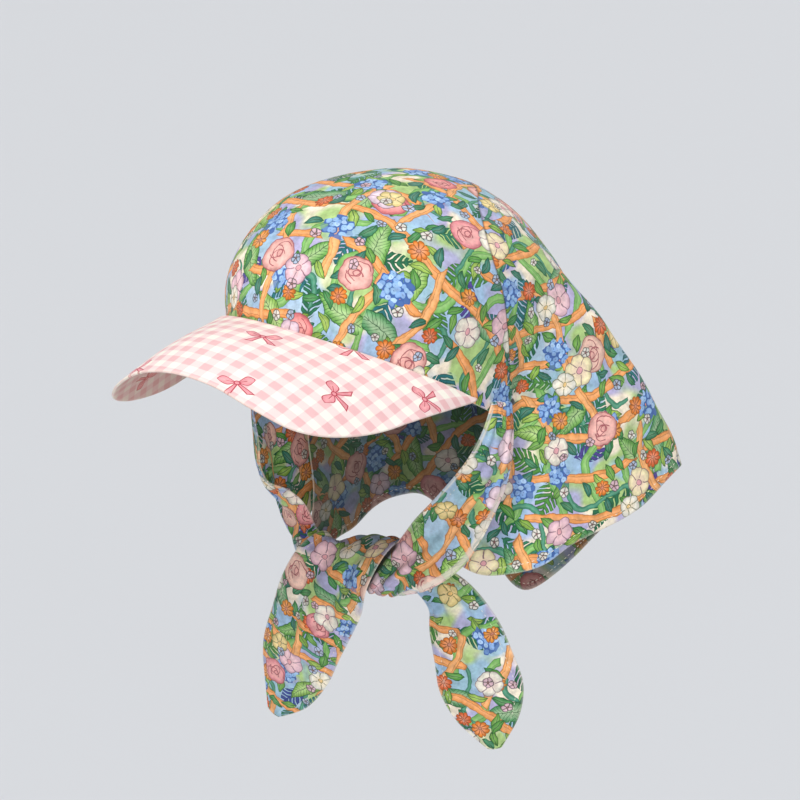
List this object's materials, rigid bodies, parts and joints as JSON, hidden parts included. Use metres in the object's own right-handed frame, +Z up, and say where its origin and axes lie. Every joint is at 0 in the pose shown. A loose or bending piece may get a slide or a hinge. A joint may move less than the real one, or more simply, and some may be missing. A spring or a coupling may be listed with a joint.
{
  "type": "visor headscarf cap",
  "caption": "Soft sun cap with a curved visor, a neck kerchief sewn to the back of the crown, and ties that cross in a half knot under the chin.",
  "frame": {"origin": "the inner face of the crown at its highest point, where the cap sits on the head", "axes": "+Z up, -Y the way the wearer looks, so the visor points along -Y, and +X the wearer's left"},
  "size_m": [0.2197, 0.3126, 0.3391],
  "materials": {
    "floral_cotton": "printed woven cotton, matt",
    "gingham_cotton": "checked woven cotton over a stiff board, matt"
  },
  "bodies": {
    "root": {"crown": "floral_cotton", "visor": "gingham_cotton", "neck_kerchief": "floral_cotton", "left_tie": "floral_cotton", "right_tie": "floral_cotton"}
  },
  "joints": []
}
